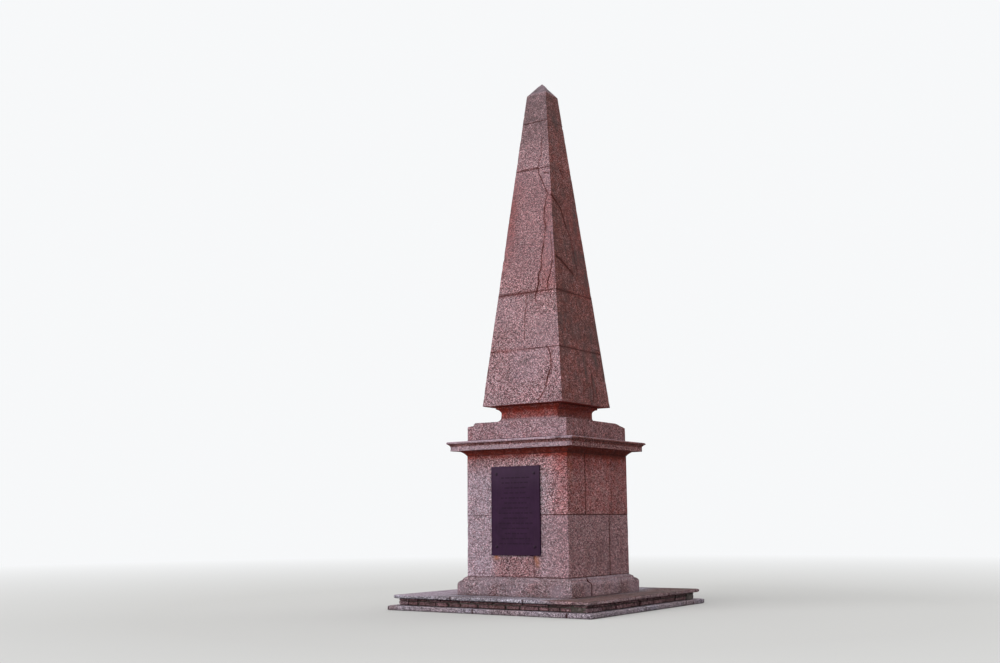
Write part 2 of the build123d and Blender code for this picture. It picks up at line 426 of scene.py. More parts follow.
def granite(name, crystals, bump=0.55):
    """Coarse granite: large and small crystals, dark mica, and the stains and painted shade that each stone
    carries.
    """
    material, tree, shader = start_material(name)
    tone = marked(tree, "tone")
    where = put(tree, "TexCoord").outputs["Object"]
    moved = put(tree, "VectorMath", {0: tone, 1: (31, 17, 23), 2: where}, operation="MULTIPLY_ADD").outputs[0]
    swirl = put(tree, "TexNoise", {"Vector": moved, "Scale": 110.0, "Detail": 2.0}).outputs[1]
    shift = {0: swirl, 1: (CRYSTAL_WANDER,) * 3, 2: moved}
    place = put(tree, "VectorMath", shift, operation="MULTIPLY_ADD").outputs[0]
    large, small, fleck = (red_of(tree, cells_of(tree, place, scale).outputs[1])
                           for scale in (LARGE_CRYSTALS, SMALL_CRYSTALS, FLECKS))
    from_middle = cells_of(tree, place, CLUSTERS).outputs[0]
    fine = cloud_of(tree, place, 260, 3, 0.7)
    colour = blend(tree, 0.26, ramp(tree, large, crystals), ramp(tree, small, crystals))
    colour = shaded(tree, colour, from_middle, (0.25, 1.41), (0.78, 0.70))
    colour = shaded(tree, colour, fine, (0.3, 0.84), (0.7, 1.12))
    mica = between(tree, fleck, 0.78, 0.81, 0.0, 0.90)
    colour = blend(tree, mica, colour, MICA)
    colour = blend(tree, between(tree, fleck, 0.10, 0.13, 0.65, 0.0), colour, GLINT)
    colour = shaded(tree, colour, cloud_of(tree, where, 1.3, 4, 0.55), (0.3, 0.86), (0.7, 1.10))
    colour = shaded(tree, colour, cloud_of(tree, moved, 8, 3, 0.65), (0.32, 0.92), (0.68, 1.07))
    colour = blend(tree, 1.0, colour, between(tree, tone, 0, 1, 0.94, 1.05), "MULTIPLY")
    patches = between(tree, cloud_of(tree, where, 9, 5, 0.6), 0.3, 0.7, 0.55, 1.25)
    # These marks darken for real stains and also as painted shade; the deep red film over the strongest red
    # is mostly the painted shade of red undersides.
    for kind, stain, way in (("brown", BROWN_STAIN_AND_SHADE, "MULTIPLY"), ("red", RED_STAIN_AND_SHADE, "MULTIPLY"),
                             ("pale", PALE_DUST, "MULTIPLY"), ("crust", LILAC_CRUST_AND_SKY_SHEEN, "MIX"),
                             ("soot", SOOT_AND_SHADE, "MIX"), ("rust", RUST, "MIX")):
        share = sum_up(tree, "MULTIPLY", marked(tree, kind), patches, clamp=True)
        colour = blend(tree, share, colour, stain, way)
        if kind == "red":
            deep = sum_up(tree, "MULTIPLY", share, share)
            colour = blend(tree, sum_up(tree, "MULTIPLY", deep, 0.55), colour, RED_FILM_AND_SHADE)
    # The dark mark draws joints and cracks, and also painted shade on the cornice's undersides and right
    # under it.
    ragged = sum_up(tree, "MULTIPLY_ADD", cloud_of(tree, where, 40, 3, 0.6), 0.010, marked(tree, "gap"))
    seam = sum_up(tree, "MULTIPLY", between(tree, ragged, 0.011, 0.018, 1.0, 0.0), marked(tree, "seam"))
    dirt = sum_up(tree, "MAXIMUM", seam, marked(tree, "dark"))
    colour = blend(tree, dirt, colour, CRACK_DIRT_AND_SHADE)
    tree.links.new(between(tree, fine, 0.2, 0.8, 0.70, 0.92), shader.inputs["Roughness"])
    shader.inputs["Specular IOR Level"].default_value = 0.10
    height = sum_up(tree, "MULTIPLY_ADD", small, 0.5, cloud_of(tree, place, 110, 4, 0.65))
    height = sum_up(tree, "MULTIPLY_ADD", mica, -0.6, height)
    finish_surface(tree, shader, colour, height, bump, CRYSTAL_RELIEF)
    return material


def step_stain(place, facing):
    """Soil at the foot and in the corner under the riser, and feet-polished patches on top."""
    half = np.abs(place[:, :2]).max(1)
    soil = 0.7 * drop(place[:, 2], 0.0, 0.05) + drop(half, 1.90, 1.99) * rise(facing[:, 2], 0.4, 0.8)
    return {"soot": soil * (0.4 + 0.6 * cloud(place, 0.2, 11)),
            "brown": 0.35 * rise(cloud(place, 0.5, 12), 0.45, 0.8),
            "red": 0.08,
            "pale": 0.20 + 0.60 * rise(cloud(place, 0.35, 13), 0.3, 0.7),
            "seam": 0.8}


platform_granite = granite("platform_granite", PLATFORM_CRYSTALS, 0.7)
SIDES = ("front", "right", "back", "left")
for index, side in enumerate(SIDES):
    for number in (1, 2):
        seed = 20 + 2 * index + number
        worn_stone(f"lower_step_{side}_{number}", platform_granite, seed, step_stain,
                   pitch=(0.024,) * 3, ease=0.006, wear=0.012, chips=0.022)


# Riser. Two rows of small rough stones under the platform slabs, a thin one over a thicker one.
# They are fieldstone and granite waste, packed in a line, with soil and old mortar washed back between.
RISER_ROWS = ((0.00, 0.62, 0.13, 0.52), (0.62, 1.00, 0.10, 0.60))  # foot, top, shortest, longest
RISER_SHORTEST = 0.09
RISER_SETBACK, RISER_BACK_GAP = 0.026, 0.03
RISER_END_GAPS, RISER_FOOT_GAPS, RISER_TOP_GAPS = (0.002, 0.008), (0.001, 0.004), (0.002, 0.012)
RISER_ROUNDING, RISER_ROUGHNESS, RISER_CUTS, RISER_SEED = 0.013, 0.022, 5, 71
BED_BEHIND, BED_END_GAP, BED_BACK_GAP, BED_CLEAR = 0.03, 0.01, 0.002, 0.0005
BED_ROUNDING, BED_ROUGHNESS, BED_CUTS, BED_SEED = 0.004, 0.003, 9, 75
RISER_CRYSTALS = [
    (0.00, (0.034, 0.017, 0.022)),
    (0.30, (0.125, 0.068, 0.086)),
    (0.60, (0.240, 0.140, 0.172)),
    (0.90, (0.450, 0.300, 0.350)),
]


def lump_grid(cuts):
    """The faces and the points of a cube from -1 to 1, cut into a grid that is closer at its edges."""
    bm = bmesh.new()
    bmesh.ops.create_cube(bm, size=2)
    bmesh.ops.subdivide_edges(bm, edges=bm.edges[:], cuts=cuts, use_grid_fill=True)
    points = np.array([corner.co for corner in bm.verts])
    faces = [[corner.index for corner in face.verts] for face in bm.faces]
    bm.free()
    return np.sin(points * math.pi / 2), faces


def lump(low, high, seed, rounding, roughness, grid):
    """One rough stone between two corners, with rounded edges and an uneven face."""
    points, faces = grid
    middle, half = (np.add(low, high) / 2), (np.subtract(high, low) / 2)
    place = middle + points * half
    inner = np.clip(place, middle - half + rounding, middle + half - rounding)
    place = inner + unit(place - inner) * rounding
    size = max(0.02, float(half.min()))
    take = roughness * (cloud(place, size, seed) + 0.5 * cloud(place, size / 2.5, seed + 1)) / 1.5
    return middle + (place - middle) * (1 - take[:, None] / np.maximum(half.max(), 0.01)), faces


def join_lumps(lumps):
    """Several stones as one list of points and one of faces, with each stone's number a point."""
    points, faces, owner, start = [], [], [], 0
    for number, (place, polygons) in enumerate(lumps):
        points.append(place)
        faces += [[index + start for index in polygon] for polygon in polygons]
        owner.append(np.full(len(place), number))
        start += len(place)
    return np.concatenate(points), faces, np.concatenate(owner)


def mesh_of(name, points, faces):
    """A mesh from its points and faces."""
    mesh = bpy.data.meshes.new(name)
    mesh.from_pydata(np.asarray(points).tolist(), [], faces)
    return mesh


def quarter_turned(points, quarter):
    """Points turned a number of quarters about the upright axis."""
    turn = np.array(Matrix.Rotation(math.radians(90 * quarter), 3, "Z"))
    return points @ turn.T


def riser_side(side, quarter):
    """One side's row of stones, built on the front and turned to its place."""
    low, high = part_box("riser_front")
    rng = np.random.default_rng(RISER_SEED + quarter)
    grid, rows = lump_grid(RISER_CUTS), []
    for foot, top, shortest, longest in RISER_ROWS:
        foot, top = (low.z + (high.z - low.z) * share for share in (foot, top))
        at = low.x
        while high.x - at > RISER_SHORTEST:
            length = min(rng.uniform(shortest, longest), high.x - at)
            if high.x - at - length < RISER_SHORTEST:
                length = high.x - at
            front = low.y + rng.uniform(0.0, RISER_SETBACK)
            near = (at + rng.uniform(*RISER_END_GAPS), front, foot + rng.uniform(*RISER_FOOT_GAPS))
            end = at + length - rng.uniform(*RISER_END_GAPS)
            far = (end, high.y - RISER_BACK_GAP, top - rng.uniform(*RISER_TOP_GAPS))
            rows.append(lump(near, far, int(rng.integers(1, 9999)), RISER_ROUNDING, RISER_ROUGHNESS, grid))
            at += length
    points, faces, owner = join_lumps(rows)
    mesh = mesh_of(f"riser_{side}_stones", quarter_turned(points, quarter), faces)
    marks = {"tone": (owner * 0.377 + quarter * 0.21) % 1,
             "red": 0.10 + 0.2 * ((owner * 0.29) % 1),
             "soot": 0.24 + 0.4 * rise(cloud(points, 0.25, 74), 0.45, 0.80),
             "brown": 0.8 * ((owner * 0.71) % 1),
             "pale": 0.3 * rise((owner * 0.533) % 1, 0.6, 0.9)}
    write_marks(mesh, marks)
    show_mesh(f"riser_{side}_stones", mesh, riser_stone, [f"riser_{side}"])
    near = (low.x + BED_END_GAP, low.y + RISER_SETBACK + BED_BEHIND, low.z + BED_CLEAR)
    far = (high.x, high.y - BED_BACK_GAP, high.z - BED_CLEAR)
    bed, bed_faces = lump(near, far, BED_SEED, BED_ROUNDING, BED_ROUGHNESS, lump_grid(BED_CUTS))
    mesh = mesh_of(f"riser_{side}_bed", quarter_turned(bed, quarter), bed_faces)
    show_mesh(f"riser_{side}_bed", mesh, rubble, [])


riser_stone = granite("riser_stone", RISER_CRYSTALS, 0.9)
for index, side in enumerate(SIDES):
    riser_side(side, index)


# Platform slabs. Four corner slabs and four between them, of pale grey-pink granite, split and axed
# by hand. They lie on the riser and the bed with open joints, and have worn, broken front edges.
def slab_stain(place, facing):
    """Pale, rain-washed tops and nosings, dirt in the corner at the foot of the pedestal, and painted shade,
    dark and browner, over the right-hand slabs.
    """
    half = np.abs(place[:, :2]).max(1)
    up = rise(facing[:, 2], 0.4, 0.8)
    left = rise(-place[:, 0], 0.9, 1.5)
    # The right-hand slabs are painted darker and browner; this is painted shade.
    right = rise(place[:, 0] + 0.4 * (cloud(place, 0.4, 34) - 0.5), 0.9, 1.5)
    return {"pale": (0.20 + 0.40 * rise(cloud(place, 0.4, 31), 0.35, 0.75)) * (1 - right) + 0.25 * left,
            "crust": 0.55 * left * up,
            "soot": 0.35 * rise(cloud(place, 0.22, 32), 0.6, 0.85) + 0.5 * up * drop(half, 1.16, 1.42)
            + 0.55 * up * right,
            "red": 0.24 * right,
            "brown": 0.4 * up * rise(cloud(place, 0.6, 33), 0.4, 0.8) * (1 - left)
            + (0.25 + 0.75 * up) * right,
            "seam": 0.8}


for index, place_name in enumerate(SIDES + ("front_left", "front_right", "back_right", "back_left")):
    worn_stone(f"platform_slab_{place_name}", platform_granite, 40 + index, slab_stain,
               pitch=(0.024,) * 3, ease=0.008, wear=0.016, chips=0.034)


# Pedestal core. Rubble and mortar behind the facing stones, hidden once the courses are laid.
# It ties the four sides together and carries the cornice.
give_material("pedestal_core", rubble)


# Base course. Four moulded blocks of pink granite: a plain face, a round and a sloping top. Front
# and back run the full width, with the sides let in between, all set in thin lime mortar.
PINK_CRYSTALS = [
    (0.00, (0.016, 0.007, 0.008)),
    (0.36, (0.052, 0.021, 0.025)),
    (0.54, (0.215, 0.096, 0.105)),
    (0.68, (0.515, 0.264, 0.286)),
    (0.86, (0.890, 0.592, 0.636)),
]
BASE_GAP_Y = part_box("base_stone_right")[0].y
BASE_HOLE_Y, BASE_HOLE_LEVEL = BASE_GAP_Y - 0.030, 0.485


def base_gap(place):
    """How near each place lies to the open joint near the front right corner, and to the hole at its top."""
    x, y, level = place.T
    out = rise(x, 1.0, 1.1)
    seam = out * ridge(y + 0.012 * (cloud(place, 0.06, 56) - 0.5), BASE_GAP_Y, 0.013)
    hole = out * ridge(np.hypot(y - BASE_HOLE_Y, level - BASE_HOLE_LEVEL), 0, 0.026)
    return seam, hole


def base_stain(place, facing):
    """Grey-lilac dust low down, soil at the foot, the plaque's rust washed down the middle, and browner on
    the right side as stain and painted shade.
    """
    x, y, level = place.T
    front, side = rise(-facing[:, 1], 0.5, 0.9), rise(facing[:, 0], 0.4, 0.8)
    rust = ridge(x, 0.40, 0.10) + 0.8 * ridge(x, -0.38, 0.07)
    seam, hole = base_gap(place)
    return {"pale": 0.62 - 0.25 * side + 0.2 * (cloud(place, 0.5, 51) - 0.5),
            "soot": 0.55 * drop(level, 0.236, 0.30) * cloud(place, 0.15, 52) + 0.36 * (1 - side)
            + 0.10 * side * rise(y, -0.5, 0.3),
            "crust": (0.40 - 0.15 * side) * rise(cloud(place, 0.3, 55), 0.2, 0.8),
            "brown": 0.45 * side + 0.25 * rise(cloud(place, 0.7, 53), 0.45, 0.8),
            "red": 0.30 * front * rust * cloud(place, 0.12, 54) + 0.3 * seam,
            "seam": (0.55 + 0.4 * side) * (1 - 0.7 * rise(y, 0.40, 0.60)),
            "dark": np.maximum(0.9 * seam, hole)}


def base_breaks(place):
    """The open joint's broken lips."""
    seam, hole = base_gap(place)
    return 0.014 * seam + 0.020 * hole


pink_granite = granite("pink_granite", PINK_CRYSTALS)
for index, side in enumerate(SIDES):
    worn_stone(f"base_stone_{side}", pink_granite, 60 + index, base_stain, pitch=(0.020,) * 3,
               ease=0.005, chips=0.018, rough=base_breaks)


# Lower die. Four great blocks of coarse pink granite, fine-axed, laid pinwheel fashion: each has its
# head at one corner and butts the next. They stand on the base in thin mortar.
DIE_HALF = 1.05
UPPER_DIE_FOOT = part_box("upper_die_front")[0].z
PLAQUE_LOW, PLAQUE_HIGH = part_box("plaque")
UPPER_JOINT_Y, LOWER_JOINT_X = 0.46, 0.355
RUST_SPOTS = (PLAQUE_LOW.x + 0.08, PLAQUE_HIGH.x - 0.10)


def die_stain(place, facing):
    """Rain-pale to the left of the front, red under the cornice and the plaque, painted shade in the band
    under the cornice, and browner on the right as stain and painted shade.
    """
    x, y, level = place.T
    front, back = rise(-facing[:, 1], 0.5, 0.9), rise(facing[:, 1], 0.5, 0.9)
    right = rise(facing[:, 0], 0.5, 0.9)
    upper = rise(level, UPPER_DIE_FOOT - 0.02, UPPER_DIE_FOOT + 0.02)
    low_right = front * (1 - upper) * rise(x, 0.1, 0.6)
    # The band growing towards the cornice is red stain and painted shade; its top few centimetres, darkest on
    # the right, are painted cornice shadow.
    under, painted_cornice_shade, foot = rise(level, 2.18, 2.66), rise(level, 2.57, 2.64), drop(level, 0.58, 0.62)
    drips = cloud(place * (1, 1, 0.12), 0.10, 81)
    over = level - PLAQUE_LOW.z
    washed = front * drop(over, -0.05, 0) * drop(np.abs(x), PLAQUE_HIGH.x - 0.10, PLAQUE_HIGH.x + 0.05)
    rust = front * drop(over, -0.02, 0.01) * (
        0.85 * ridge(x, RUST_SPOTS[0], 0.055) * rise(over, -0.10, -0.04)
        + ridge(x + 0.2 * (over + 0.05), RUST_SPOTS[1], 0.045) * rise(over, -0.24, -0.10))
    arris = right * ridge(y, -DIE_HALF, 0.10) * rise(level, 1.50, 1.80)
    dirty_joint = right * upper * ridge(y, -UPPER_JOINT_Y, 0.017)
    clean_joints = (1 - 0.85 * right * upper * ridge(y, UPPER_JOINT_Y, 0.03)) * (
        1 - 0.6 * front * (1 - upper) * ridge(x, LOWER_JOINT_X, 0.03))
    return {"pale": front * (0.9 - 0.50 * rise(x, -0.8, 0.9)) * (1 - under) + 0.16 * (1 - right),
            "crust": 0.22 * front * rise(-x, 0.2, 0.8) * (1 - under) + 0.06 * right * (1 - upper)
            + 0.16 * low_right,
            "red": 0.26 * under * (0.6 + 0.6 * drips) + 0.22 * washed * (0.5 + drips)
            + front * rise(x, 0.5, 1) * (0.14 + 0.26 * upper) + right * (0.20 + 0.24 * upper)
            + 0.4 * painted_cornice_shade + 0.08 * low_right,
            "brown": right * (0.10 * upper + 0.25 * rise(drips, 0.5, 0.8) + 0.2 * painted_cornice_shade) + 0.25 * back
            + 0.4 * painted_cornice_shade + 0.35 * washed,
            "rust": rust * (0.5 + 0.7 * drips) + 0.35 * arris * rise(drips, 0.35, 0.6),
            "soot": right * (0.10 + 0.12 * upper) * rise(drips, 0.55, 0.8) + 0.10 * washed + 0.10 * low_right,
            "seam": (0.28 + (0.64 + 0.2 * foot) * rise(x, 0.0, 0.4)) * clean_joints,
            "dark": 0.40 * right * painted_cornice_shade + 0.8 * dirty_joint}


def die_course(course, seed):
    """The four blocks of one course."""
    for index, side in enumerate(SIDES):
        worn_stone(f"{course}_die_{side}", pink_granite, seed + index, die_stain, ease=0.005,
                   chips=0.016)


die_course("lower", 90)


# Upper die. Full-width blocks front and back with shorter ones between, so that the joints break over
# those below. Same granite and axing, bedded in thin mortar.
die_course("upper", 100)


# Cornice. One moulded course cut from pink granite: bed mould, soffit, fascia, hollow crown and fillet.
# It overhangs the die; its underside is red-stained and carries painted shade, and its upper edge is
# weathered pale.
CORNICE_LOW, CORNICE_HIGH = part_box("cornice")
CORNICE_SPLIT_Y = 0.55


def cornice_stain(place, facing):
    """Red stain with painted shade on the undersides, the hollow crown and the fillet's lower half, a pale
    fillet, browner on the right as stain and painted shade, and drip marks over the fascia.
    """
    level, foot, top = place[:, 2], CORNICE_LOW.z, CORNICE_HIGH.z
    # Undersides, soffit, bed mould, the hollow crown and the fillet's lower half get painted shade in their
    # red, brown and dark marks, more of it on the right.
    down, flat = rise(-facing[:, 2], 0.15, 0.6), rise(-facing[:, 2], 0.8, 0.95)
    right = rise(facing[:, 0], 0.4, 0.8)
    lip = rise(level, top - 0.068, top - 0.060)
    low_lip = lip * drop(level, top - 0.048, top - 0.036)
    crown = rise(level, top - 0.115, top - 0.105) * (1 - lip)
    bed = drop(level, foot + 0.07, foot + 0.09)
    bare = (1 - down) * (1 - crown)
    split = right * bed * ridge(place[:, 1], CORNICE_SPLIT_Y, 0.012)
    drips = cloud(place * (1, 1, 0.2), 0.07, 111)
    return {"red": 0.55 * down * (1 - crown) + 0.45 * bed + 0.08 * drips * (1 - lip) + 0.22 * right
            + 0.30 * crown + 0.2 * low_lip,
            "brown": 0.42 * right + 0.7 * flat + 0.35 * crown + 0.4 * low_lip * right,
            "pale": (0.95 * lip + 0.25 * bare) * (1 - right),
            "crust": (0.62 * lip * (1 - 0.5 * low_lip) + 0.42 * bare * (1 - lip)) * (1 - right),
            "soot": 0.06 * rise(drips, 0.5, 0.8) * (1 - lip) + 0.10 * right * lip + 0.24 * crown,
            "seam": 0.5,
            "dark": 0.7 * split + np.maximum(flat, bed) * (0.28 + 0.36 * right) + 0.35 * low_lip * right}


worn_stone("cornice", pink_granite, 110, cornice_stain, pitch=(0.024, 0.024, 0.011), wear=0.006,
           chips=0.022)


# Attic block. A plain block of the same granite on the cornice. Frost has split off its front left
# corner and its rear right corner, and the breaks are left rough.
ATTIC_HOLE_Y, ATTIC_HOLE_LEVEL = 0.36, 3.185


def attic_hole(place):
    """How near each place lies to the old fixing hole in the right-hand face."""
    x, y, level = place.T
    gap = np.hypot(y - ATTIC_HOLE_Y, (level - ATTIC_HOLE_LEVEL) / 1.4)
    return rise(x, 1.0, 1.03) * ridge(gap, 0, 0.020)


def attic_breaks(place):
    """The torn surface of the two broken corners."""
    x, y, level = place.T
    front = rise(-x, 0.87, 0.90) * rise(-y, 0.84, 0.90) * rise(level, 3.165, 3.185)
    rear = rise(x, 0.76, 0.86) * rise(y, 0.66, 0.78) * rise(level, 3.16, 3.20)
    return 0.012 * np.maximum(front, rear) * cloud(place, 0.035, 121) + 0.016 * attic_hole(place)


def attic_stain(place, facing):
    """Pale and rain-washed, browner on the right as stain and painted shade, with dark dirt on the ledge
    round the neck and a painted shadow line at its foot.
    """
    half = np.abs(place[:, :2]).max(1)
    up = rise(facing[:, 2], 0.5, 0.9)
    right = rise(facing[:, 0], 0.5, 0.9)
    drips = cloud(place * (1, 1, 0.25), 0.08, 122)
    # The darker foot is a painted shadow line where the block meets the cornice.
    foot = drop(place[:, 2], 2.96, 3.03)
    return {"pale": 0.60 + 0.15 * up - 0.35 * right,
            "crust": 0.15 * (1 - right) * rise(cloud(place, 0.3, 124), 0.3, 0.8),
            "brown": 0.50 * right + 0.5 * up * drop(half, 0.72, 0.95),
            "red": 0.16 + 0.14 * rise(drips, 0.55, 0.85) + 0.3 * up * drop(half, 0.70, 0.85) + 0.08 * right,
            "soot": 0.35 * up * cloud(place, 0.12, 123) + 0.10 + foot * (0.10 + 0.14 * right),
            "seam": (0.65 + 0.3 * cloud(place, 0.2, 125)) * (1 - 0.4 * right),
            "dark": attic_hole(place)}


worn_stone("attic_block", pink_granite, 120, attic_stain, pitch=(0.018, 0.018, 0.015), wear=0.004,
           rough=attic_breaks)


# Neck. A narrow block, hollowed at its foot and flared under the shaft, of the same granite. It is stained
# red by the shaft's drip, and painted shade in that red makes it darkest under the flare and on its
# undersides.
def neck_stain(place, facing):
    """Dark red all round, deepest under the flare as painted shade, browner on the right as stain and painted
    shade, with paler streaks where water runs off.
    """
    level = place[:, 2]
    down, right = rise(-facing[:, 2], 0.1, 0.6), rise(facing[:, 0], 0.4, 0.8)
    foot, high, top = drop(level, 3.30, 3.36), rise(level, 3.30, 3.50), rise(level, 3.507, 3.512)
    drips = cloud(place * (1, 1, 0.25), 0.07, 131)
    # The red under the flare and on down-facing faces is partly painted shade.
    return {"red": 0.52 + 0.45 * high + 0.5 * down + 0.12 * right - 0.12 * rise(drips, 0.6, 0.9)
            - 0.10 * top - 0.35 * foot,
            "brown": 0.40 * right + 0.15 * down,
            "crust": 0.30 * foot * (1 - right),
            "soot": 0.16 * (1 - high) + 0.08 * rise(drips, 0.5, 0.8) + 0.12 * right,
            "seam": 0.25}


worn_stone("neck_block", pink_granite, 130, neck_stain, pitch=(0.022, 0.022, 0.012), chips=0.015)


# Shaft. Five courses of solid blocks on one straight taper, the top one dressed to a pyramid point.
# The granite is fine-axed. Frost has cracked the front near its right-hand arris from top to bottom.
SHAFT_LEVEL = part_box("shaft_block_1")[0].z
SHAFT_JOINTS = [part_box(f"shaft_block_{number}")[1].z for number in (1, 2, 3, 4)]
SHAFT_FOOT_HALF, SHAFT_LAST_HALF = (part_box(node)[1].x for node in ("shaft_block_1", "shaft_block_5"))
POINT_LEVEL = 9.509
JOINT_DIRT = ((0.18, 0.80, 1.00), (0.26, 0.85, 1.00), (0.05, 0.85, 0.25), (0.02, 0.85, 0.30))
SOOT_PATCHES = ((-0.15, 4.38, 0.13), (-0.30, 4.10, 0.12), (0.02, 4.30, 0.09), (0.10, 5.52, 0.08))

# Each crack's width, depth, dirt and route across the face and up, in millimetres.
FRONT_CRACKS = [
    (5, 5, 0.50, [(199, 8583), (171, 8521), (174, 8240), (130, 8120), (121, 7996)]),
    (6, 8, 0.72, [(121, 7996), (136, 7910), (223, 7716), (356, 7458)]),
    (5.5, 7, 0.70, [(356, 7458), (313, 7232), (293, 6983), (345, 6821), (326, 6556), (320, 6462)]),
    (6, 8, 0.85, [(320, 6462), (288, 6276), (291, 6054)]),
    (7, 12, 0.95, [(291, 6054), (243, 5904), (251, 5741), (222, 5643), (221, 5590)]),
    (7, 9, 0.80, [(524, 6137), (486, 5913), (445, 5746), (444, 5646)]),
    (6, 4, 0.50, [(444, 6700), (500, 6420), (524, 6137)]),
    (6, 5, 0.70, [(215, 5600), (190, 5540), (200, 5450)]),
    (5, 4, 0.50, [(-16, 5601), (5, 5388), (-17, 5120), (5, 4719)]),
    (7, 6, 0.68, [(511, 4543), (567, 4421), (597, 4184), (536, 4041), (499, 3829), (420, 3689), (365, 3625)]),
    (6, 6, 0.55, [(606, 4516), (572, 4415)]),
    (6, 6, 0.55, [(-354, 7993), (-193, 8011), (118, 8005)]),
    (7, 6, 0.70, [(264, 7872), (361, 7854)]),
]
RIGHT_CRACKS = [
    (8, 8, 0.90, [(10, 7990), (66, 7860)]),
    (12, 12, 0.85, [(-440, 7420), (-300, 7330), (-150, 7200), (-30, 6870)]),
    (11, 6, 0.60, [(-30, 6870), (100, 6650), (145, 6350), (200, 6100)]),
    (12, 10, 0.95, [(-500, 6240), (-340, 6180), (-192, 6098), (31, 5986)]),
    (9, 5, 0.65, [(300, 4140), (270, 3960), (290, 3800), (240, 3640)]),
    (9, 5, 0.55, [(-20, 3960), (-50, 3840), (-70, 3720)]),
    (9, 5, 0.50, [(420, 3900), (400, 3780), (430, 3660)]),
]


def shaft_half(level):
    """Half the shaft's width at a level."""
    share = (level - SHAFT_LEVEL) / (SHAFT_JOINTS[3] - SHAFT_LEVEL)
    return SHAFT_FOOT_HALF + (SHAFT_LAST_HALF - SHAFT_FOOT_HALF) * share


def routed(cracks, on_face):
    """Cracks as (points on a face, width, depth, dirt), in metres."""
    return [([np.array(on_face(across / 1000, level / 1000)) for across, level in route],
             width / 1000, depth / 1000, dirt) for width, depth, dirt, route in cracks]


CRACKS = routed(FRONT_CRACKS, lambda x, level: (x, -shaft_half(level), level))
CRACKS += routed(RIGHT_CRACKS, lambda y, level: (shaft_half(level), y, level))


def cracks_in(node):
    """The cracks that reach into one course."""
    low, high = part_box(node)
    return [crack for crack in CRACKS
            if min(point[2] for point in crack[0]) < high.z and max(point[2] for point in crack[0]) > low.z]


def joint_stain(x, level, front, right):
    """Red round the joints between the courses, and how dark each joint is."""
    red, dark = 0, 0
    for joint, (joint_red, front_dark, right_dark) in zip(SHAFT_JOINTS, JOINT_DIRT):
        red = red + joint_red * ridge(level, joint, 0.035)
        dark = dark + (np.abs(level - joint) < 0.2) * (front_dark * (1 - right) + right_dark * right)
    return red * (1 - 0.7 * front * rise(x, 0.15, 0.3)), dark


def shaft_stain(place, facing):
    """Browner downwards on the right as stain and painted shade, red by the left arris and along the joints,
    the underside painted red as its shade and bounce light, soot low down.
    """
    x, y, level = place.T
    front, right = rise(-facing[:, 1], 0.5, 0.9), rise(facing[:, 0], 0.5, 0.9)
    down = rise(-facing[:, 2], 0.5, 0.9)
    first_joint, second_joint = SHAFT_JOINTS[:2]
    joint_red, seam = joint_stain(x, level, front, right)
    drips = cloud(place * (1, 1, 0.10), 0.07, 141)
    strip = ridge(x, -shaft_half(level), 0.16) * rise(level, 5.7, 6.7) * drop(level, 7.6, 8.3)
    low, mid, top = drop(level, 5.5, 5.7), rise(level, 5.5, 6.2), rise(level, 8.0, 9.2)
    # The point's lilac-grey is a painted sky reflection.
    point = rise(level, POINT_LEVEL - 0.01, POINT_LEVEL + 0.06)
    second = rise(level, first_joint - 0.01, first_joint + 0.01) * drop(level, 5.55, second_joint)
    third = mid * drop(level, 7.7, 8.1)
    body = rise(level, 4.30, 4.80) * drop(level, 7.6, 8.2)
    split = rise(x, 0.24, 0.36) * rise(level, 5.5, 5.7) * drop(level, 7.3, 7.6)
    slant = y - (0.05 + 0.25 * (6.870 - level))
    violet = rise(slant, -0.04, 0.10) * rise(level, 5.3, 5.7) * drop(level, 7.2, 7.7)
    tooling = cloud(np.stack((x, y + 0.10 * level, 0.12 * level), axis=1), 0.05, 146)
    scored = rise(tooling, 0.62, 0.85) * drop(level, 3.9, 5.2)
    blotch = rise(cloud(place, 0.16, 147), 0.45, 0.80)
    blot = ridge(y, -0.20, 0.13) * ridge(level, 7.32, 0.09)
    patch = sum(ridge(np.hypot(x - across, level - up), 0, size) for across, up, size in SOOT_PATCHES)
    open_front = front * ridge(level, second_joint, 0.036) * drop(x, 0.18, 0.24)
    open_right = right * (0.85 * ridge(level, second_joint, 0.028) * drop(y, -0.35, 0.15)
                          + 0.55 * ridge(level, first_joint, 0.017))
    # The underside's red is painted shade and bounce light; the right face's brown and soot-dark marks are
    # partly stain and partly painted shade.
    return {"red": 0.48 * strip * (0.5 + cloud(place, 0.15, 142)) * front + joint_red + 0.16 * (1 - point)
            + right * (0.22 + 0.30 * violet) + front * (0.16 * split + 0.12 * third + 0.06 * top)
            + 0.9 * down,
            "brown": right * (0.72 + 0.25 * rise(drips, 0.5, 0.8) + 0.20 * body) * (1 - 0.50 * violet)
            + front * (0.25 * strip + 0.22 * split),
            "pale": front * (0.12 + 0.38 * drop(level, 4.0, 5.0)),
            "crust": 0.75 * point + front * (0.18 * rise(cloud(place, 0.6, 145), 0.4, 0.7) + 0.14 * mid),
            "soot": right * (0.14 * body + 0.16 * violet + 0.26 * blotch + 0.50 * scored + 0.10 * low
                             + 0.30 * rise(drips, 0.6, 0.85) + 0.22 * top + 0.08 * mid)
            + front * (0.45 * patch * rise(cloud(place, 0.08, 143), 0.35, 0.65) + 0.17 * mid + 0.46 * top
                       + 0.12 * second + 0.10 * strip) + 0.24 * point,
            "seam": seam * rise(cloud(place, 0.25, 144), 0.05, 0.45),
            "dark": 0.70 * open_front + open_right + 0.45 * right * blot}


for number in (1, 2, 3, 4, 5):
    node = f"shaft_block_{number}"
    worn_stone(node, pink_granite, 140 + number, shaft_stain, pitch=(0.021,) * 3, wear=0.005,
               chips=0.012, cracks=cracks_in(node))


